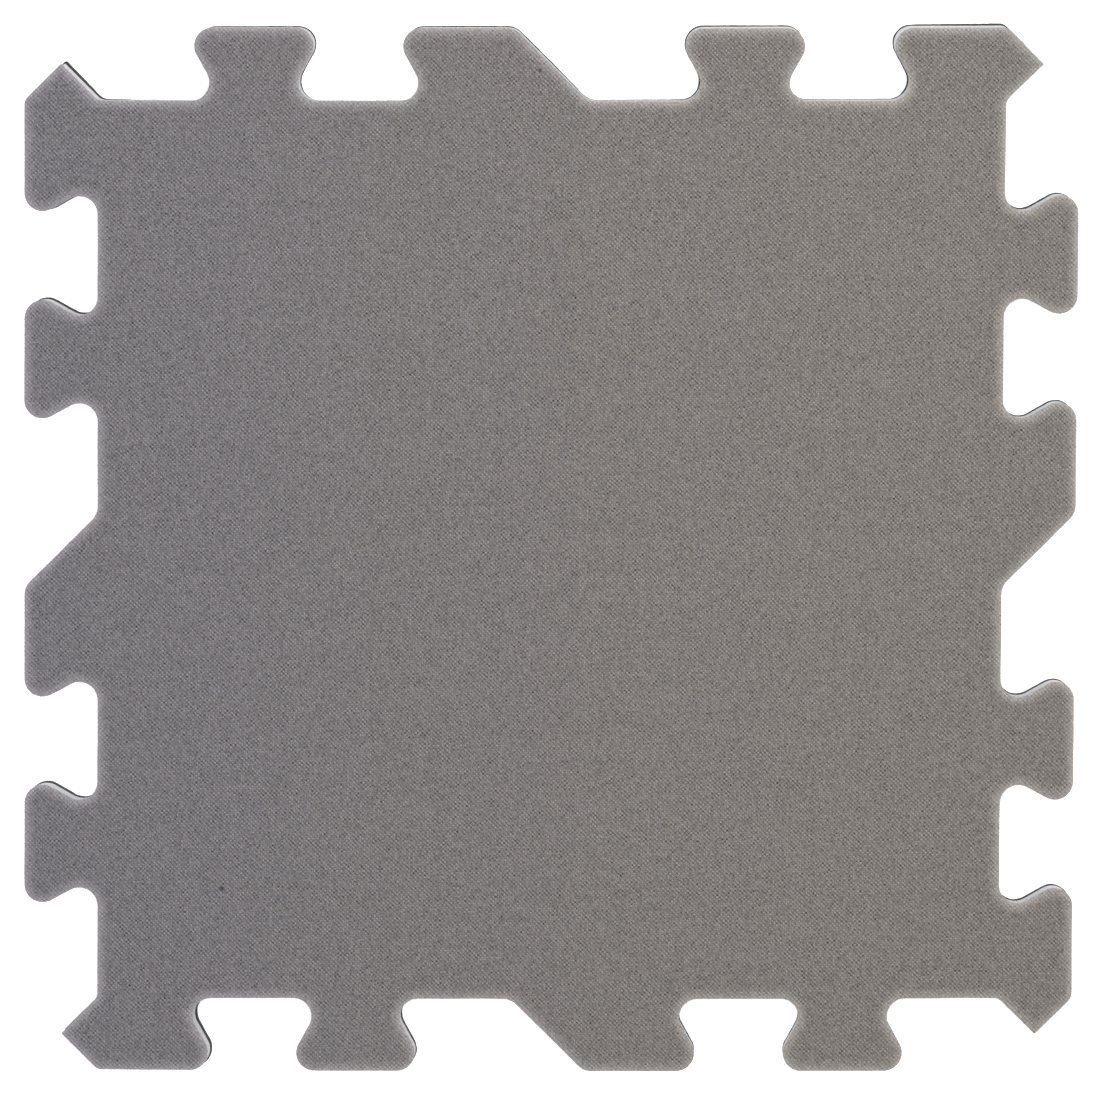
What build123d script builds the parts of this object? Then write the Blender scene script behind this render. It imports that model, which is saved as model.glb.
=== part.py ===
from build123d import *

import math
import os

# One interlocking blocking mat: a square foam tile with a woven cloth face, on which damp knitting is
# pinned out to dry. Five sheets are bonded into one stack and die-cut in a single stroke, so every
# sheet has the same outline.
#
# Frame: millimetres, +Z up, origin at the middle of the underside, X and Y along the tile's sides.
#
# The outline weaves about a square pitch line. Every half side is the same: a 45 degree slope, a
# dovetail tab, a dovetail socket and the next slope. A tab's flank turned half a turn about the pitch
# line is a socket's flank, so any side of one mat locks into any side of another, also half a side
# further along.

# Driving dimensions of the outline
PITCH = 304.8  # side of the square that one mat covers when mats are locked together, 12 inches
TAB_DEPTH = 22.86  # from the bottom of a socket to the outer end of a tab
SLOPE_TO_FLANK = 43.75  # along the pitch line, from where a slope crosses it to the nearest flank
FLANK_ANGLE = 29.0  # lean of a tab's flanks, in degrees, which makes the tab a dovetail
DOVETAIL_RADIUS = 5.7  # rounding of the tabs and sockets, the same on both so that they mate
MID_SLOPE_RADIUS = 6.0  # rounding at both ends of the slope in the middle of a side
END_SLOPE_RADIUS = 3.5  # rounding beside the pointed corner of the mat
TIP_RADIUS = 0.4  # rounding of the pointed corner itself

# Driving dimensions of the stack, from the floor up
BASE_THICKNESS = 3.0  # dark, dense foam
FILM_THICKNESS = 0.15  # hot-melt bonding film
CORE_THICKNESS = 8.1  # pale closed-cell foam
CLOTH_THICKNESS = 0.6  # woven cloth that takes the pins and soaks up the damp

SIDES = 4


def half_side_corners(start):
    """Corners of one half side as (along, outward) pairs, from its first slope to its last."""
    half = PITCH / 2
    reach = TAB_DEPTH / 2
    lean = reach * math.tan(math.radians(FLANK_ANGLE))
    tab_start = SLOPE_TO_FLANK
    socket_start = half / 2
    socket_end = half - SLOPE_TO_FLANK
    corners = [
        (reach, -reach),
        (tab_start + lean, -reach),
        (tab_start - lean, reach),
        (socket_start + lean, reach),
        (socket_start - lean, -reach),
        (socket_end + lean, -reach),
        (socket_end - lean, reach),
        (half - reach, reach),
    ]
    return [(start + along, outward) for along, outward in corners]


def side_corners():
    """Corners of one whole side: its pointed corner, then its two half sides."""
    return [(0, 0)] + half_side_corners(0) + half_side_corners(PITCH / 2)


def side_radii():
    """Rounding radius at each corner of one whole side."""
    dovetails = [DOVETAIL_RADIUS] * 6
    first_half = [END_SLOPE_RADIUS] + dovetails + [MID_SLOPE_RADIUS]
    second_half = [MID_SLOPE_RADIUS] + dovetails + [END_SLOPE_RADIUS]
    return [TIP_RADIUS] + first_half + second_half


def mat_outline():
    """The closed outline that the die cuts, as a flat face centred on the origin."""
    points = []
    radii = []
    for side in range(SIDES):
        turn = -360 / SIDES * side
        for along, outward in side_corners():
            points.append(Vector(along - PITCH / 2, outward + PITCH / 2).rotate(Axis.Z, turn))
        radii += side_radii()
    edges = FilletPolyline(*points, radius=radii, close=True).edges()
    return Face(Wire(edges))


def sheet(outline, bottom, thickness):
    """One sheet of the stack: the die-cut outline with its thickness, lying at its height."""
    lying = Pos(0, 0, bottom) * outline
    return extrude(lying, amount=thickness, dir=(0, 0, 1))


def base_foam(outline):
    """Dark foam that lies on the floor."""
    return sheet(outline, 0, BASE_THICKNESS)


def base_adhesive_film(outline):
    """Bonding film between the dark foam and the pale foam."""
    return sheet(outline, BASE_THICKNESS, FILM_THICKNESS)


def foam_core(outline):
    """Pale foam, most of the thickness, which holds the pins."""
    return sheet(outline, BASE_THICKNESS + FILM_THICKNESS, CORE_THICKNESS)


def face_adhesive_film(outline):
    """Bonding film between the pale foam and the cloth."""
    return sheet(outline, BASE_THICKNESS + FILM_THICKNESS + CORE_THICKNESS, FILM_THICKNESS)


def face_fabric(outline):
    """Woven cloth, the working face."""
    bottom = BASE_THICKNESS + 2 * FILM_THICKNESS + CORE_THICKNESS
    return sheet(outline, bottom, CLOTH_THICKNESS)


SUB_PARTS = [base_foam, base_adhesive_film, foam_core, face_adhesive_film, face_fabric]

os.makedirs("parts", exist_ok=True)
die_outline = mat_outline()
for make in SUB_PARTS:
    export_step(make(die_outline), f"parts/{make.__name__}.step")
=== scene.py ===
import bmesh
import bpy
import math
import numpy as np
from mathutils import Matrix, Vector, noise


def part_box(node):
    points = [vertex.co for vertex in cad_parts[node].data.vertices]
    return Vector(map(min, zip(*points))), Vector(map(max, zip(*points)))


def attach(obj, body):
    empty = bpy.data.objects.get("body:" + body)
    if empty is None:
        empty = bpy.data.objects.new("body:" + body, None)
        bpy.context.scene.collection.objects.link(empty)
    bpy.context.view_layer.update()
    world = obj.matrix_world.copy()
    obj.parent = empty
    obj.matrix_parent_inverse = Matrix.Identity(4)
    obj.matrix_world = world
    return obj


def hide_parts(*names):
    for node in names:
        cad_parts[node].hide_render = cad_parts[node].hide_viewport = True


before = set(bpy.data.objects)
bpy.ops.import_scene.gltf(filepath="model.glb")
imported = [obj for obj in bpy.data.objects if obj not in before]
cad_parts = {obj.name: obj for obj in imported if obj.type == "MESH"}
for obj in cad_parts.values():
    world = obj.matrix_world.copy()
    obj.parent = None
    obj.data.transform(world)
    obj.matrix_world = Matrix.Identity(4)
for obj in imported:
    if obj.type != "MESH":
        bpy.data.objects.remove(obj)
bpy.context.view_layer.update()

# The look of one interlocking blocking mat: a bonded, die-cut stack of cloth, film, pale foam, film and
# dark foam. Dimensions are in millimetres, as in the design, and meshes are in metres.

MM = 0.001

# The die's outline, with the design's driving dimensions
PITCH = 304.8
TAB_DEPTH = 22.86
SLOPE_TO_FLANK = 43.75
FLANK_ANGLE = 29.0
DOVETAIL_RADIUS = 5.7
MID_SLOPE_RADIUS = 6.0
END_SLOPE_RADIUS = 3.5
TIP_RADIUS = 0.4
DOVETAIL_CORNERS = 6  # in each half side
SIDES = 4

# Fineness of the meshes
ARC_STEP = 0.8
STRAIGHT_STEP = 1.3
SHARPEST_RADIUS = 0.03  # a rounding that an inner ring has used up keeps this radius
CLOTH_GRID = 4.0
GRID_SLACK = 1e-7  # metres within which a corner counts as on a line of that grid
INSETS = (0.0, 0.12, 0.3, 0.55, 0.9, 1.3, 1.8, 2.4, 3.2, 4.4)  # rings inside the cut

# What the die does to the edge of the stack
EDGE_DROP = 0.7  # how far the cloth is pressed down at the cut
EDGE_ROLL = 2.3  # how far in from the cut the cloth starts to roll down
ROLL_POWER = 2.2  # above 1, the roll is steepest at the cut
PRESSED_FROM = 3.5  # height below which the stack keeps its thickness
PRESSED_POWER = 1.5
CLOTH_OUT = 0.05  # how much further out the cloth's cut stands than the underside's
HOLLOW = 0.22  # how far the cut wall of the pale foam curves in
BASE_BULGE = 0.06  # how far the cut wall of the dark foam curves out
LIP_POWER = 6  # a high power keeps the lip of a cut wall to its very rims

# How the cut and the cloth waver: how far, how long the waves are, and which noise they follow
WANDER, WANDER_SIZE, WANDER_SEED = 0.10, 14.0, 1
RIPPLE, RIPPLE_SIZE, RIPPLE_SEED = 0.4, 2.5, 2  # finer waves, as a share of the wander
PROUD, PROUD_SIZE, PROUD_SEED = 0.41, 60.0, 44  # how unevenly the dark foam stands out
RAGGED, RAGGED_SIZE, RAGGED_SEED = 0.25, 1.6, 6  # finer waves, as a share of that
CLOTH_WAVE, CLOTH_WAVE_SIZE, CLOTH_WAVE_SEED = 0.05, 22.0, 3
CLOTH_WAVE_INSET = 3.0  # how far inside the cut the cloth waves in full
NOISE_APART = (17.3, 5.1, 9.7)  # how far apart two neighbouring seeds read the noise

# How the mat has crept out of square, and how its walls lean because it was bowed as it was cut
SKEW = 0.008  # sideways shift for each millimetre towards +Y
BOW = 0.43  # how far the +Y and -Y sides curve towards +Y at their ends
LEAN = -0.0064  # how much further out the underside is than the cloth, for each millimetre along X
FAR_LEAN = 0.0036  # how much the +Y side's walls lean in, for each millimetre along X
FAR_LEAN_FROM = -92.0  # where along X that lean starts
FAR_LEAN_POWER = 4  # a high power keeps that lean to the +Y side
FAR_LEAN_ASIDE = 0.5  # how far towards +X that lean goes for each millimetre that it goes in
BASE_SLIP = (0.05, 0.07)  # how far the dark foam has slipped under the rest at the -X side
BASE_SHY = 0.35  # how far the dark foam stands back in the sockets of the +Y side


# ---------------------------------------------------------------- outline

def half_side_corners(start):
    """Corners of one half side as (along, outward) pairs, from its first slope to its last."""
    half = PITCH / 2
    reach = TAB_DEPTH / 2
    lean = reach * math.tan(math.radians(FLANK_ANGLE))
    tab_start = SLOPE_TO_FLANK
    socket_start = half / 2
    socket_end = half - SLOPE_TO_FLANK
    corners = [
        (reach, -reach),
        (tab_start + lean, -reach),
        (tab_start - lean, reach),
        (socket_start + lean, reach),
        (socket_start - lean, -reach),
        (socket_end + lean, -reach),
        (socket_end - lean, reach),
        (half - reach, reach),
    ]
    return [(start + along, outward) for along, outward in corners]


def outline_corners():
    """Every corner of the die's outline, clockwise, with its rounding radius."""
    dovetails = [DOVETAIL_RADIUS] * DOVETAIL_CORNERS
    radii = [TIP_RADIUS, END_SLOPE_RADIUS, *dovetails, MID_SLOPE_RADIUS]
    radii += [MID_SLOPE_RADIUS, *dovetails, END_SLOPE_RADIUS]
    side = [(0, 0)] + half_side_corners(0) + half_side_corners(PITCH / 2)
    corners = []
    for turn in range(SIDES):
        for along, outward in side:
            x, y = along - PITCH / 2, outward + PITCH / 2
            for _ in range(turn):
                x, y = y, -x
            corners.append((x, y))
    return np.array(corners), np.array(radii * SIDES)


def right_of(way):
    """The direction to the right of a way, which is inward, because the outline runs clockwise."""
    return np.array([way[1], -way[0]])


class Outline:
    """Rings of points that follow the die's outline, each a given distance inside it.

    Every ring has the same number of points, so that neighbouring rings join in quads.
    """

    def __init__(self):
        self.corners, self.radii = outline_corners()
        edge = np.roll(self.corners, -1, 0) - self.corners
        edge_length = np.linalg.norm(edge, axis=1)
        self.after = edge / edge_length[:, None]
        self.before = np.roll(self.after, 1, 0)
        self.turn = np.arccos(np.clip((self.before * self.after).sum(1), -1, 1))
        cross = self.before[:, 0] * self.after[:, 1] - self.before[:, 1] * self.after[:, 0]
        self.convex = cross < 0
        rounded = self.radii * np.tan(self.turn / 2)
        straight = edge_length - rounded - np.roll(rounded, -1)
        self.arc_steps = np.maximum(3, np.ceil(self.radii * self.turn / ARC_STEP)).astype(int)
        self.straight_steps = np.maximum(1, np.ceil(straight / STRAIGHT_STEP)).astype(int)

    def inward_step(self, i):
        """How far corner i moves for each millimetre that both edges which meet there move inward."""
        middle = right_of(self.before[i]) + right_of(self.after[i])
        return middle / np.linalg.norm(middle) / math.cos(self.turn[i] / 2)

    def arc(self, i, inset):
        """Points round corner i of a ring, with the way out at each.

        At a pointed corner every point goes out along the corner's own line, so that it stays in shape.
        """
        pointed = self.radii[i] == TIP_RADIUS
        side = -1 if self.convex[i] else 1
        radius = max(self.radii[i] + side * inset, SHARPEST_RADIUS)
        corner = self.corners[i] + self.inward_step(i) * inset
        to_centre = right_of(self.before[i]) * -side
        centre = corner - self.before[i] * radius * math.tan(self.turn[i] / 2) + to_centre * radius
        first = math.atan2(-to_centre[1], -to_centre[0])
        points = []
        for step in range(self.arc_steps[i] + 1):
            angle = first + side * self.turn[i] * step / self.arc_steps[i]
            away = np.array([math.cos(angle), math.sin(angle)])
            way_out = -self.inward_step(i) if pointed else away * -side
            points.append((centre + away * radius, way_out))
        return points

    def ring(self, inset):
        """Points of the ring that lies inset millimetres inside the outline, and the way out at each."""
        arcs = [self.arc(i, inset) for i in range(len(self.corners))]
        points = []
        for i, arc in enumerate(arcs):
            points += arc
            start = arc[-1][0]
            run = arcs[(i + 1) % len(arcs)][0][0] - start
            way_out = -right_of(self.after[i])
            steps = self.straight_steps[i]
            points += [(start + run * step / steps, way_out) for step in range(1, steps)]
        places, ways_out = zip(*points)
        return np.array(places), np.array(ways_out)


OUTLINE = Outline()


# ---------------------------------------------------------------- the pressed, cut stack

def heights():
    """Lowest and highest level of every sheet of the stack, in millimetres, from the frame."""
    levels = {}
    for node in ("base_foam", "base_adhesive_film", "foam_core", "face_adhesive_film", "face_fabric"):
        low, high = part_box(node)
        levels[node] = (low.z / MM, high.z / MM)
    return levels


LEVELS = heights()
TOP = LEVELS["face_fabric"][1]


def slow_noise(points, size, seed):
    """Smooth noise from -1 to 1 at each point, with features of about size millimetres."""
    offset = Vector([seed * step for step in NOISE_APART])
    return np.array([noise.noise(Vector(point) / size + offset) for point in points])


def creep(points, level):
    """How far each point has moved sideways out of the die's outline, at a level of the stack."""
    x, y = points.T
    far_side = np.clip(y / (PITCH / 2), 0, 1) ** FAR_LEAN_POWER
    backward = level / TOP * FAR_LEAN * np.clip(x - FAR_LEAN_FROM, 0, None) * far_side
    sideways = SKEW * y + (0.5 - level / TOP) * LEAN * x + FAR_LEAN_ASIDE * backward
    return np.column_stack([sideways, BOW * (x / (PITCH / 2)) ** 2 - backward])


def base_shift(points):
    """How the cut of the dark foam has moved: it has slipped at -X, and stands back in the +Y sockets."""
    x, y = points.T
    slipped = np.clip(0.5 - x / PITCH, 0, 1) ** 2
    in_socket = np.clip(1 - np.abs(2 * (PITCH / 2 - y) / TAB_DEPTH - 1), 0, 1)
    past_corner = np.clip((x + PITCH / 2) / TAB_DEPTH, 0, 1)
    shift = np.outer(slipped, BASE_SLIP)
    shift[:, 1] -= BASE_SHY * in_socket * past_corner
    return shift


def settle(inset, level, back, is_base):
    """Points round the stack at a level, inset millimetres inside the cut, and the way out at each.

    The cut itself stands back millimetres inside the die's outline.
    """
    close = max(0.0, 1 - inset / EDGE_ROLL)
    pressed = min(1.0, max(0.0, (level - PRESSED_FROM) / (TOP - PRESSED_FROM)))
    height = level - EDGE_DROP * close**ROLL_POWER * pressed**PRESSED_POWER
    ring, ways_out = OUTLINE.ring(inset + close * (back - CLOTH_OUT * (level / TOP) ** 2))
    solid = np.column_stack([ring, np.full(len(ring), level)])
    flat = solid * (1, 1, 0)
    ripple = RIPPLE * slow_noise(solid, RIPPLE_SIZE, RIPPLE_SEED)
    inward = WANDER * (slow_noise(solid, WANDER_SIZE, WANDER_SEED) + ripple)
    moved = ring + creep(ring, level)
    if is_base:
        ragged = RAGGED * slow_noise(flat, RAGGED_SIZE, RAGGED_SEED)
        inward = inward + PROUD * (slow_noise(flat, PROUD_SIZE, PROUD_SEED) + ragged)
        moved = moved + base_shift(ring) * close
    moved = moved - ways_out * (inward * close)[:, None]
    wave = CLOTH_WAVE * slow_noise(flat, CLOTH_WAVE_SIZE, CLOTH_WAVE_SEED)
    settled = wave * min(1.0, inset / CLOTH_WAVE_INSET) * pressed
    return np.column_stack([moved, height + settled]), ways_out


class Cut:
    """How the cut wall of one sheet stands: rows of the mesh, and distances in millimetres."""

    def __init__(self, rows, hollow, lip, back, is_base=False):
        self.rows = rows
        self.hollow = hollow
        self.lip = lip
        self.back = back
        self.is_base = is_base

    def line(self, levels, inset, share):
        """One ring of the sheet, at a share of its height, with the ways out: see settle."""
        low, high = levels
        lip = self.lip * (2 * abs(share - 0.5)) ** LIP_POWER
        back = self.back + self.hollow * math.sin(math.pi * share) + lip
        return settle(inset, low + (high - low) * share, back, self.is_base)


def add_mesh(name, mesh):
    """A smooth-shaded object of a mesh, in the scene."""
    mesh.polygons.foreach_set("use_smooth", [True] * len(mesh.polygons))
    mesh.update()
    made = bpy.data.objects.new(name, mesh)
    bpy.context.scene.collection.objects.link(made)
    return made


def sheet_object(name, levels, cut, gridded):
    """A closed mesh of one sheet, from the middle of its underside round its cut to its top.

    Its material slots are 0 for the top, 1 for the cut and 2 for the underside.
    """
    places = [(inset, 0.0) for inset in reversed(INSETS[1:])]
    places += [(0.0, row / cut.rows) for row in range(cut.rows + 1)]
    places += [(inset, 1.0) for inset in INSETS[1:]]
    rings = [cut.line(levels, inset, share)[0] for inset, share in places]
    count = len(rings[0])
    faces = []
    for first in range(0, (len(rings) - 1) * count, count):
        for i in range(count):
            j = (i + 1) % count
            faces.append((first + i, first + count + i, first + count + j, first + j))
    under = tuple(range(count))
    over = tuple(reversed(range((len(rings) - 1) * count, len(rings) * count)))
    mesh = bpy.data.meshes.new(name)
    mesh.from_pydata((np.concatenate(rings) * MM).tolist(), [], faces + [under, over])
    from_cut = np.repeat([inset for inset, _ in places], count).astype(np.float32)
    mesh.attributes.new("from_cut", "FLOAT", "POINT").data.foreach_set("value", from_cut)
    cut_from = (len(INSETS) - 1) * count
    slots = np.zeros(len(mesh.polygons), dtype=np.int32)
    slots[:cut_from] = 2
    slots[cut_from:cut_from + cut.rows * count] = 1
    slots[-2] = 2
    mesh.polygons.foreach_set("material_index", slots)
    if gridded:
        grid_top(mesh)
    return add_mesh(name, mesh)


def grid_top(mesh):
    """Cuts the large top face into a grid and lets it waver a little, as cloth on foam does."""
    work = bmesh.new()
    work.from_mesh(mesh)
    work.faces.ensure_lookup_table()
    cap = work.faces[-1]
    rim = set(cap.verts)
    cells = [cap]
    half = (PITCH + TAB_DEPTH) / 2
    for axis in (Vector((1, 0, 0)), Vector((0, 1, 0))):
        for at in np.arange(-half + CLOTH_GRID / 2, half, CLOTH_GRID):
            edges = {edge for cell in cells for edge in cell.edges}
            corners = {corner for cell in cells for corner in cell.verts}
            halved = bmesh.ops.bisect_plane(work, geom=[*cells, *edges, *corners], dist=GRID_SLACK,
                                            plane_co=axis * at * MM, plane_no=axis)
            cells = [part for part in halved["geom"] if isinstance(part, bmesh.types.BMFace)]
    from_cut = work.verts.layers.float["from_cut"]
    for corner in {corner for cell in cells for corner in cell.verts} - rim:
        corner[from_cut] = INSETS[-1]
        flat = (corner.co.x / MM, corner.co.y / MM, 0)
        wave = CLOTH_WAVE * slow_noise([flat], CLOTH_WAVE_SIZE, CLOTH_WAVE_SEED)[0]
        corner.co.z = (TOP + wave) * MM
    work.to_mesh(mesh)
    work.free()


# ---------------------------------------------------------------- yarn ends along the cut

FRAY_SPACING = 0.42
FRAY_LENGTH = 0.75  # of the longest yarn ends
FRAY_SHORTEST = 0.15  # as a share of the longest
FRAY_SHORTER = 1.6  # above 1, most yarn ends are short
FRAY_RADIUS = 0.075
FRAY_THICKNESS = (0.6, 1.3)  # least and most, as shares of that radius
FRAY_TAPER = (1.0, 1.0, 0.8, 0.35)  # thickness at each station of a yarn end
FRAY_ROOTED = 0.25  # how far inside the cut a yarn end starts
FRAY_HEIGHT = 0.6  # where in the cloth's thickness it comes out
FRAY_SCATTER = 0.2  # how far it comes out beside that place, or above or below it
FRAY_ASIDE = 0.9  # how far it leans to one side, as a share of its length
FRAY_DROOP = (0.1, 1.0)  # least and most
FRAY_BENDS = ((0.42, 0.4, 0.25), (0.55, 1.0, 0.85))  # last two stations: how far out, aside and down
FRAY_SIDES = 3
FRAY_SEED = 11


def cut_line(levels, cut):
    """Points and outward directions along the cloth's cut, evenly spaced."""
    points, ways_out = cut.line(levels, 0.0, FRAY_HEIGHT)
    closed = np.vstack([points, points[:1]])
    closed_out = np.vstack([ways_out, ways_out[:1]])
    along = np.concatenate([[0], np.cumsum(np.linalg.norm(np.diff(closed, axis=0), axis=1))])
    places = np.arange(0, along[-1], FRAY_SPACING)
    spaced = np.column_stack([np.interp(places, along, part) for part in closed.T])
    outward = np.column_stack([np.interp(places, along, part) for part in closed_out.T])
    outward /= np.linalg.norm(outward, axis=1)[:, None]
    return spaced, np.column_stack([outward, np.zeros(len(outward))])


def frayed_paths(levels, cut):
    """The bent line of every yarn end, from inside the cloth outward and down over the foam."""
    draw = np.random.default_rng(FRAY_SEED)
    start, outward = cut_line(levels, cut)
    each = (len(start), 1)
    sideways = np.column_stack([-outward[:, 1], outward[:, 0], np.zeros(len(start))])
    down = np.array([0, 0, -1.0])
    start = start + sideways * draw.uniform(-FRAY_SCATTER, FRAY_SCATTER, each)
    start = start - down * draw.uniform(-FRAY_SCATTER, FRAY_SCATTER, each)
    length = FRAY_LENGTH * draw.uniform(FRAY_SHORTEST, 1.0, each) ** FRAY_SHORTER
    aside = sideways * draw.uniform(-FRAY_ASIDE, FRAY_ASIDE, each)
    droop = down * draw.uniform(*FRAY_DROOP, each)
    stations = [start - outward * FRAY_ROOTED, start]
    for out, lean, fall in FRAY_BENDS:
        stations.append(start + (outward * out + aside * lean + droop * fall) * length)
    radius = FRAY_RADIUS * draw.uniform(*FRAY_THICKNESS, each) * np.array(FRAY_TAPER)
    return np.stack(stations, 1), radius


def frayed_object(name, levels, cut):
    """Every yarn end that sticks out of the cloth's cut, each a tapered tube."""
    path, radius = frayed_paths(levels, cut)
    count, stations, _ = path.shape
    heading = np.gradient(path, axis=1)
    heading /= np.linalg.norm(heading, axis=2)[:, :, None]
    across = np.cross(heading, (0.0, 0.0, 1.0))
    across /= np.linalg.norm(across, axis=2)[:, :, None]
    upward = np.cross(across, heading)
    lines = []
    for side in range(FRAY_SIDES):
        angle = 2 * math.pi * side / FRAY_SIDES
        lines.append(path + (across * math.cos(angle) + upward * math.sin(angle)) * radius[:, :, None])
    points = np.stack(lines, 2).reshape(-1, 3) * MM
    faces = []
    for end in range(count):
        root = end * stations * FRAY_SIDES
        tip = root + (stations - 1) * FRAY_SIDES
        for here in range(root, tip, FRAY_SIDES):
            ahead = here + FRAY_SIDES
            for side in range(FRAY_SIDES):
                following = (side + 1) % FRAY_SIDES
                faces.append((here + side, here + following, ahead + following, ahead + side))
        faces.append(tuple(reversed(range(root, root + FRAY_SIDES))))
        faces.append(tuple(range(tip, tip + FRAY_SIDES)))
    mesh = bpy.data.meshes.new(name)
    mesh.from_pydata(points.tolist(), [], faces)
    return add_mesh(name, mesh)


# ---------------------------------------------------------------- materials

CLOTH_COOL = (0.1338, 0.1256, 0.1385)  # the dye drifts from cool at -X to warm at +X
CLOTH_WARM = (0.1530, 0.1412, 0.1295)
WARMTH_RISE = 1.4  # above 1, the cloth is at its warmest well before the +X side
WARMTH_BLOTCHES = 0.45
CLOTH_CUT_COLOUR = (0.30, 0.285, 0.285)
YARN_END_COLOUR = (0.33, 0.32, 0.32)
CORE_COLOUR = (0.445, 0.445, 0.455)
BASE_COLOUR = (0.020, 0.021, 0.024)
FILM_COLOUR = (0.52, 0.52, 0.54)
FLOOR_COLOUR = (0.88, 0.88, 0.88)
FLOOR_GLOW = 0.72
WHITE = (1, 1, 1, 1)

# The yarns of the cloth
WARP_PITCH = 0.7015  # spacing of the yarns that run towards +Y
WEFT_PITCH = 0.682  # spacing of the yarns that run towards +X
WARP_SKEW = 0.0375  # the warp leans a little off square
DRIFT, DRIFT_SIZE = 0.26, 9.0  # how many yarns the weave wanders, over how many millimetres
BEND, BEND_SIZE = 1.3, 70.0
WEFT_DRIFT, WEFT_BEND = -0.8, 0.7  # what the weft takes of the warp's drift and bend
PLIES = 2.0  # strands that a yarn is twisted from
EMBOSS_PITCH = 1.6  # spacing along X and along Y of the crossed grooves in the underside's skin

# Cut foam: how deep and how soft-edged its opened cells are, and how its tone follows them as painted
# shade, darker down in each cell
CELL_DEPTH, CELL_SOFTNESS = 0.6, 0.1
BLADE_STRETCH = 0.06  # below 1, the blade's streaks are drawn out in height
PIT_MIDDLE = 0.4  # the depth at which a cell has the foam's own tone, with painted shade deeper down and painted light towards its rim
GRAIN_SHARE = 0.4  # how strongly the grain shows next to the cells
FOAM_CLOUD = 0.03

# How much lighter or darker each thing makes the cloth
WARP_LIGHTER = 0.305  # the warp where it is on top, and the weft as much darker
WARP_BLOTCHES = 0.8  # how much that comes and goes over the cloth
TWIST_TONE = -0.11
# painted shade in the gaps between the yarns, and painted light over their middles
PAINTED_GAP_SHADE = -0.06
STRAND_TONE = 1.6
FLOAT_TONE = 0.33  # from each crossing of two yarns to the next
YARN_TONE = 0.03  # from each yarn to the next
ANY_WARP, ANY_WEFT = 3.0, 7.0  # one of each stands for all, so that a whole yarn has one tone
FIBRE_TONE = 0.05
CLOUD_TONE = 0.015
EVENNESS = -0.15  # how much the lightest and darkest places are held back
RIM_HIGHLIGHT_AND_WEAR = 0.95  # painted highlight on the rolled rim of the cloth, standing in for bounce light and sheen there, plus some real lightening from pressing
LINT_TONE = -0.62
LINT_STEEPNESS = 1.6  # above 1, a bit of lint is at its darkest over all of its middle
LINT = ((-103.0, -106.0, 1.1), (-2.2, 150.4, 0.8))  # dark bits caught in the weave: x, y, radius


class Material:
    """A node material, with short calls for the nodes that the surfaces here are made of."""

    def __init__(self, name):
        self.material = bpy.data.materials.new(name)
        self.material.use_nodes = True
        self.tree = self.material.node_tree
        self.shader = next(node for node in self.tree.nodes if node.type == "BSDF_PRINCIPLED")

    def node(self, kind, **settings):
        made = self.tree.nodes.new(kind)
        for key, value in settings.items():
            setattr(made, key, value)
        return made

    def feed(self, socket, value):
        if isinstance(value, bpy.types.NodeSocket):
            self.tree.links.new(value, socket)
        else:
            socket.default_value = value

    def math(self, operation, *values):
        made = self.node("ShaderNodeMath", operation=operation)
        for socket, value in zip(made.inputs, values):
            self.feed(socket, value)
        return made.outputs[0]

    def times(self, a, b):
        return self.math("MULTIPLY", a, b)

    def total(self, start, *parts):
        """The sum of a start and further parts, each a value or a (value, weight) pair."""
        result = start
        for part in parts:
            if isinstance(part, tuple):
                result = self.math("MULTIPLY_ADD", *part, result)
            else:
                result = self.math("ADD", part, result)
        return result

    def vector(self, x, y, z=0.0):
        made = self.node("ShaderNodeCombineXYZ")
        for socket, value in zip(made.inputs, (x, y, z)):
            self.feed(socket, value)
        return made.outputs[0]

    def position(self):
        """Object coordinates in millimetres, as a vector and as its three parts."""
        place = self.shade(self.node("ShaderNodeTexCoord").outputs["Object"], 1 / MM)
        parts = self.node("ShaderNodeSeparateXYZ")
        self.feed(parts.inputs[0], place)
        return place, tuple(parts.outputs)

    def noise(self, place, size, detail=2.0, roughness=0.5):
        """Smooth noise about zero, roughly from -1 to 1, with features of about size millimetres."""
        made = self.node("ShaderNodeTexNoise")
        self.feed(made.inputs["Vector"], place)
        made.inputs["Scale"].default_value = 1 / size
        made.inputs["Detail"].default_value = detail
        made.inputs["Roughness"].default_value = roughness
        return self.math("MULTIPLY_ADD", made.outputs["Fac"], 2.0, -1.0)

    def patches(self, x, y):
        """A random number from -0.5 to 0.5, the same all over each unit square of x and y."""
        made = self.node("ShaderNodeTexWhiteNoise", noise_dimensions="2D")
        self.feed(made.inputs["Vector"], self.vector(self.math("FLOOR", x), self.math("FLOOR", y)))
        return self.math("SUBTRACT", made.outputs["Value"], 0.5)

    def attribute(self, name):
        return self.node("ShaderNodeAttribute", attribute_name=name).outputs["Fac"]

    def shade(self, colour, factor):
        """A colour, or any other vector, times a number."""
        made = self.node("ShaderNodeVectorMath", operation="SCALE")
        self.feed(made.inputs[0], colour)
        self.feed(made.inputs["Scale"], factor)
        return made.outputs[0]

    def mix(self, factor, a, b):
        made = self.node("ShaderNodeMix", data_type="RGBA")
        self.feed(made.inputs["Factor"], factor)
        self.feed(made.inputs["A"], (*a, 1))
        self.feed(made.inputs["B"], (*b, 1))
        return made.outputs["Result"]

    def bump(self, height, distance, strength):
        made = self.node("ShaderNodeBump")
        made.inputs["Strength"].default_value = strength
        made.inputs["Distance"].default_value = distance * MM
        self.feed(made.inputs["Height"], height)
        self.feed(self.shader.inputs["Normal"], made.outputs[0])

    def finish(self, colour, roughness, **constants):
        self.feed(self.shader.inputs["Base Color"], colour)
        self.feed(self.shader.inputs["Roughness"], roughness)
        for key, value in constants.items():
            self.shader.inputs[key.replace("_", " ")].default_value = value
        return self.material


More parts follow.
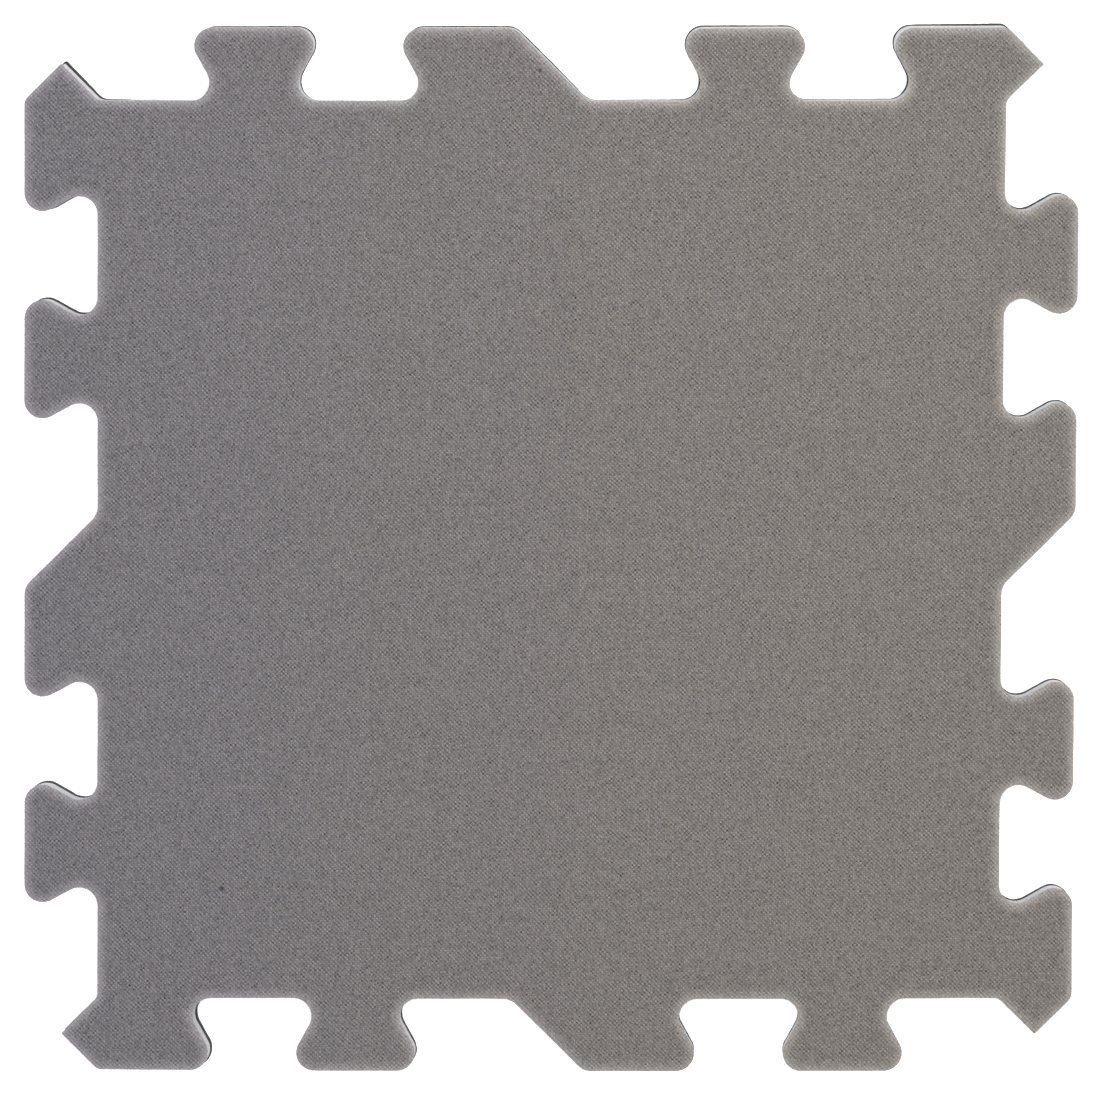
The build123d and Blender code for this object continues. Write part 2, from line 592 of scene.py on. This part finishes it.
def yarn_counts(m, place, x, y):
    """Counts of the yarns along X and along Y, which wander a little, as in hand-stretched cloth."""
    drift = m.times(m.noise(place, size=DRIFT_SIZE), DRIFT)
    bend = m.times(m.noise(place, size=BEND_SIZE), BEND)
    warp = m.total(m.math("DIVIDE", x, WARP_PITCH), (y, -WARP_SKEW), drift, bend)
    weft = m.total(m.math("DIVIDE", y, WEFT_PITCH), (drift, WEFT_DRIFT), (bend, WEFT_BEND))
    return warp, weft


def twisted_yarn(m, across, along):
    """Tone of the strands that a yarn is twisted from, about zero, and 0 in the grooves between them."""
    spiral = m.total(m.times(across, PLIES), along)
    groove = m.math("ABSOLUTE", m.math("SINE", m.times(spiral, math.pi)))
    return m.times(m.patches(spiral, along), groove), groove


def lint(m, x, y, bit):
    """1 over the middle of a bit of lint, falling to 0 at its rim."""
    middle_x, middle_y, radius = bit
    across = m.math("SUBTRACT", x, middle_x)
    along = m.math("SUBTRACT", y, middle_y)
    away = m.math("SQRT", m.total(m.times(across, across), m.times(along, along)))
    dome = m.math("MULTIPLY_ADD", away, -LINT_STEEPNESS / radius, LINT_STEEPNESS)
    return m.math("MINIMUM", m.math("MAXIMUM", dome, 0.0), 1.0)


def cloth_face():
    """Plain weave in heather grey yarn."""
    m = Material("cloth_face")
    place, (x, y, _) = m.position()
    warp, weft = yarn_counts(m, place, x, y)
    over_under = m.times(m.math("SINE", m.times(warp, math.pi)), m.math("SINE", m.times(weft, math.pi)))
    dome = m.math("POWER", m.math("ABSOLUTE", over_under), 0.5)
    warp_on_top = m.math("GREATER_THAN", over_under, 0.0)
    weft_on_top = m.math("SUBTRACT", 1.0, warp_on_top)
    warp_strand, warp_groove = twisted_yarn(m, warp, weft)
    weft_strand, weft_groove = twisted_yarn(m, weft, m.math("SUBTRACT", 0.5, warp))
    strand = m.total(m.times(warp_strand, warp_on_top), m.times(weft_strand, weft_on_top))
    groove = m.total(m.times(warp_groove, warp_on_top), m.times(weft_groove, weft_on_top))
    twist = m.math("COSINE", m.times(m.total(warp, weft), math.pi))
    # painted shade: these make the cloth darker in the gaps between yarns and lighter over their middles
    warp_gap = m.math("COSINE", m.times(warp, 2 * math.pi))
    weft_gap = m.math("COSINE", m.times(weft, 2 * math.pi))
    warp_lighter = m.total(WARP_LIGHTER, (m.noise(place, size=1.2), WARP_BLOTCHES))
    tone = m.total(
        1.0,
        m.times(over_under, warp_lighter),
        (twist, TWIST_TONE),
        (m.total(warp_gap, weft_gap), PAINTED_GAP_SHADE),
        (m.times(strand, dome), STRAND_TONE),
        (m.times(m.patches(warp, weft), dome), FLOAT_TONE),
        (m.patches(warp, ANY_WEFT), YARN_TONE),
        (m.patches(ANY_WARP, weft), YARN_TONE),
        (m.noise(place, size=0.35), FIBRE_TONE),
        (m.noise(place, size=25.0), CLOUD_TONE),
    )
    for bit in LINT:
        tone = m.times(tone, m.total(1.0, (lint(m, x, y, bit), LINT_TONE)))
    change = m.math("SUBTRACT", tone, 1.0)
    # painted highlight that lightens the cloth towards its cut, for bounce light and sheen on the rolled
    # rim, with some pressed wear
    rim_highlight_mask = m.math("SUBTRACT", 1.0, m.math("DIVIDE", m.attribute("from_cut"), INSETS[-1]))
    tone = m.total(tone, (m.times(change, change), EVENNESS), (m.times(rim_highlight_mask, rim_highlight_mask), RIM_HIGHLIGHT_AND_WEAR))
    m.bump(m.total(dome, (over_under, 0.25), (groove, 0.3)), distance=0.09, strength=0.7)
    risen = m.total(WARMTH_RISE / 2, (x, WARMTH_RISE / (PITCH + TAB_DEPTH)))
    warmth = m.total(risen, (m.noise(place, size=3.0), WARMTH_BLOTCHES))
    colour = m.mix(warmth, CLOTH_COOL, CLOTH_WARM)
    return m.finish(m.shade(colour, tone), roughness=0.92, Sheen_Weight=0.18, Sheen_Roughness=0.5,
                    Specular_IOR_Level=0.25)


def cloth_cut():
    """Cut edge of the cloth: pale yarn ends, with painted shade in the gaps between them."""
    m = Material("cloth_cut")
    place, _ = m.position()
    ends = m.noise(place, size=0.5, detail=3.0, roughness=0.6)
    fuzz = m.noise(place, size=0.16, detail=2.0, roughness=0.7)
    m.bump(m.total(ends, (fuzz, 0.5)), distance=0.15, strength=0.8)
    # painted shade: the tone follows the bump's height, darker in the gaps between yarn ends
    tone = m.total(1.0, (ends, 0.75), (fuzz, 0.35))
    return m.finish(m.shade(CLOTH_CUT_COLOUR, tone), roughness=0.95, Sheen_Weight=0.3, Sheen_Roughness=0.5,
                    Specular_IOR_Level=0.2)


def yarn_end():
    """Cut, fuzzy yarn, paler than the face because its broken fibres scatter the light."""
    m = Material("yarn_end")
    place, _ = m.position()
    m.bump(m.noise(place, size=0.05), distance=0.03, strength=0.5)
    tone = m.total(1.0, (m.noise(place, size=0.6), 0.5), (m.noise(place, size=0.1), 0.2))
    return m.finish(m.shade(YARN_END_COLOUR, tone), roughness=0.95, Sheen_Weight=0.3, Sheen_Roughness=0.5,
                    Specular_IOR_Level=0.2)


def foam_cut(name, colour, cell, contrast, streak, roughness):
    """Die-cut closed-cell foam: opened cells with painted shade in them, and faint streaks where the blade
    went down.
    """
    m = Material(name)
    place, (x, y, z) = m.position()
    cells = m.node("ShaderNodeTexVoronoi", feature="F1")
    m.feed(cells.inputs["Vector"], place)
    cells.inputs["Scale"].default_value = 1 / cell
    pit = m.math("SMOOTH_MIN", cells.outputs["Distance"], CELL_DEPTH, CELL_SOFTNESS)
    drawn_down = m.vector(x, y, m.times(z, BLADE_STRETCH))
    blade = m.noise(drawn_down, size=0.5, detail=3.0, roughness=0.6)
    grain = m.noise(place, size=cell / 2, detail=2.0, roughness=0.6)
    cloud = m.noise(place, size=6.0)
    m.bump(m.total(pit, (grain, GRAIN_SHARE), (blade, 0.5)), distance=0.12, strength=0.6)
    # painted shade: darker down in each opened cell, lighter at its rim
    painted_pit_shade = m.math("MULTIPLY_ADD", pit, contrast, -PIT_MIDDLE * contrast)
    grain_tone = m.times(grain, GRAIN_SHARE * contrast)
    tone = m.total(1.0, painted_pit_shade, (blade, streak), grain_tone, (cloud, FOAM_CLOUD))
    return m.finish(m.shade(colour, tone), roughness, Specular_IOR_Level=0.3)


def foam_skin():
    """Underside of the dark foam: a moulded skin with a fine crossed emboss, with painted shade in its
    grooves.
    """
    m = Material("base_skin")
    place, (x, y, _) = m.position()
    along = m.math("SINE", m.times(m.total(x, y), math.pi / EMBOSS_PITCH))
    across = m.math("SINE", m.times(m.math("SUBTRACT", x, y), math.pi / EMBOSS_PITCH))
    emboss = m.math("POWER", m.math("ABSOLUTE", m.times(along, across)), 0.4)
    grain = m.noise(place, size=0.4, detail=3.0, roughness=0.6)
    scuff = m.noise(place, size=14.0, detail=4.0, roughness=0.6)
    m.bump(m.total(emboss, (grain, 0.3)), distance=0.15, strength=0.7)
    # the emboss term is painted shade: darker in the emboss grooves, lighter on its raised squares
    tone = m.total(1.0, (emboss, 0.18), (grain, 0.15), (scuff, 0.12))
    rough = m.total(0.62, (scuff, 0.08))
    return m.finish(m.shade(BASE_COLOUR, tone), rough, Specular_IOR_Level=0.4)


def bond_film():
    """Hot-melt film, milky and a little glossy, uneven where it has soaked in."""
    m = Material("bond_film")
    place, _ = m.position()
    soak = m.noise(place, size=1.1, detail=3.0, roughness=0.6)
    m.bump(soak, distance=0.04, strength=0.5)
    rough = m.total(0.45, (soak, 0.15))
    return m.finish(m.shade(FILM_COLOUR, m.total(1.0, (soak, 0.2))), rough)


def white_sweep():
    """Matt white paper."""
    m = Material("white_sweep")
    place, _ = m.position()
    tone = m.total(1.0, (m.noise(place, size=400.0), 0.006))
    return m.finish(m.shade(FLOOR_COLOUR, tone), roughness=0.9, Specular_IOR_Level=0.1,
                    Emission_Color=WHITE, Emission_Strength=FLOOR_GLOW)


# ---------------------------------------------------------------- floor, camera and light

FLOOR_REACH = 30.0  # metres, so that it fills the view from every side

# The camera stands a few degrees from straight over the mat, towards +Y and towards +X
CAMERA_DISTANCE = 3.33  # metres, as are the places and sizes of the lights
CAMERA_OVER_Y = math.radians(5.24)
CAMERA_OVER_X = math.radians(1.93)
CAMERA_TURN = math.radians(0.03)
CAMERA_AIM = Vector((-0.07, -0.55)) * MM
PIXELS_PER_MM = 3.189
FRAME_PIXELS = 1100
SENSOR_WIDTH = 36.0
FARTHEST_SEEN = 100.0

KEY_PLACE = (0.28, 0.55, 1.1)
FILL_PLACE = (-0.6, -1.0, 1.5)
ROOM_COLOUR = (0.97, 0.985, 1.0, 1)
ROOM_STRENGTH = 0.64


def add_floor():
    corners = [(x * FLOOR_REACH, y * FLOOR_REACH, 0) for x, y in ((-1, -1), (1, -1), (1, 1), (-1, 1))]
    mesh = bpy.data.meshes.new("floor")
    mesh.from_pydata(corners, [], [(0, 1, 2, 3)])
    mesh.materials.append(white_sweep())
    floor = bpy.data.objects.new("floor", mesh)
    bpy.context.scene.collection.objects.link(floor)


def add_camera():
    """A long lens almost straight above."""
    camera = bpy.data.objects.new("camera", bpy.data.cameras.new("camera"))
    bpy.context.scene.collection.objects.link(camera)
    turned = (Matrix.Rotation(CAMERA_TURN, 3, "Z") @ Matrix.Rotation(-CAMERA_OVER_X, 3, "Y")
              @ Matrix.Rotation(CAMERA_OVER_Y, 3, "X"))
    stance = turned.transposed()
    place = stance @ Vector((CAMERA_AIM.x, CAMERA_AIM.y, CAMERA_DISTANCE))
    camera.matrix_world = Matrix.Translation(place) @ stance.to_4x4()
    lens = camera.data
    lens.sensor_width = SENSOR_WIDTH
    lens.lens = lens.sensor_width * PIXELS_PER_MM / MM * CAMERA_DISTANCE / FRAME_PIXELS
    lens.clip_end = FARTHEST_SEEN
    bpy.context.scene.camera = camera


def add_light(name, place, size, power, colour):
    """A square softbox that points at the mat."""
    light = bpy.data.objects.new(name, bpy.data.lights.new(name, "AREA"))
    light.data.shape = "SQUARE"
    light.data.size = size
    light.data.energy = power
    light.data.color = colour
    light.location = place
    light.rotation_euler = (-Vector(place)).to_track_quat("-Z", "Y").to_euler()
    bpy.context.scene.collection.objects.link(light)


def add_room():
    """The white room round the mat, as even light from all sides."""
    world = bpy.data.worlds.new("room")
    world.use_nodes = True
    background = world.node_tree.nodes["Background"]
    background.inputs["Color"].default_value = ROOM_COLOUR
    background.inputs["Strength"].default_value = ROOM_STRENGTH
    bpy.context.scene.world = world
    bpy.context.scene.view_settings.view_transform = "Standard"


add_camera()
add_light("key", KEY_PLACE, size=0.9, power=13.5, colour=(1.0, 0.99, 0.985))
add_light("fill", FILL_PLACE, size=1.8, power=10.5, colour=(1.0, 0.955, 0.955))
add_room()
add_floor()


# ---------------------------------------------------------------- the pieces

def add_piece(name, node, materials, cut, gridded=False):
    """One sheet of the stack, in place of its CAD solid, with materials for its top, cut and underside."""
    piece = sheet_object(name, LEVELS[node], cut, gridded)
    for material in materials:
        piece.data.materials.append(material)
    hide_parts(node)
    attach(piece, "root")
    return piece


skin = foam_skin()
dark_cut = foam_cut("base_cut", BASE_COLOUR, cell=0.30, contrast=0.45, streak=0.12, roughness=0.7)
base_wall = Cut(rows=8, hollow=-BASE_BULGE, lip=0.12, back=0.0, is_base=True)
base = add_piece("dark_base", "base_foam", [skin, dark_cut, skin], base_wall)

film = bond_film()
base_film_wall = Cut(rows=2, hollow=0.0, lip=0.1, back=0.25)
base_film = add_piece("base_bond", "base_adhesive_film", [film] * 3, base_film_wall)

pale_cut = foam_cut("core_cut", CORE_COLOUR, cell=0.42, contrast=0.20, streak=0.05, roughness=0.85)
core_wall = Cut(rows=16, hollow=HOLLOW, lip=0.05, back=0.24)
core = add_piece("pale_core", "foam_core", [pale_cut] * 3, core_wall)

face_film_wall = Cut(rows=2, hollow=0.0, lip=0.06, back=0.22)
face_film = add_piece("face_bond", "face_adhesive_film", [film] * 3, face_film_wall)

cut_cloth = cloth_cut()
cloth_wall = Cut(rows=6, hollow=0.0, lip=0.1, back=0.06)
cloth = add_piece("cloth", "face_fabric", [cloth_face(), cut_cloth, cut_cloth], cloth_wall, gridded=True)

fray = frayed_object("frayed_yarn_ends", LEVELS["face_fabric"], cloth_wall)
fray.data.materials.append(yarn_end())
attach(fray, "root")
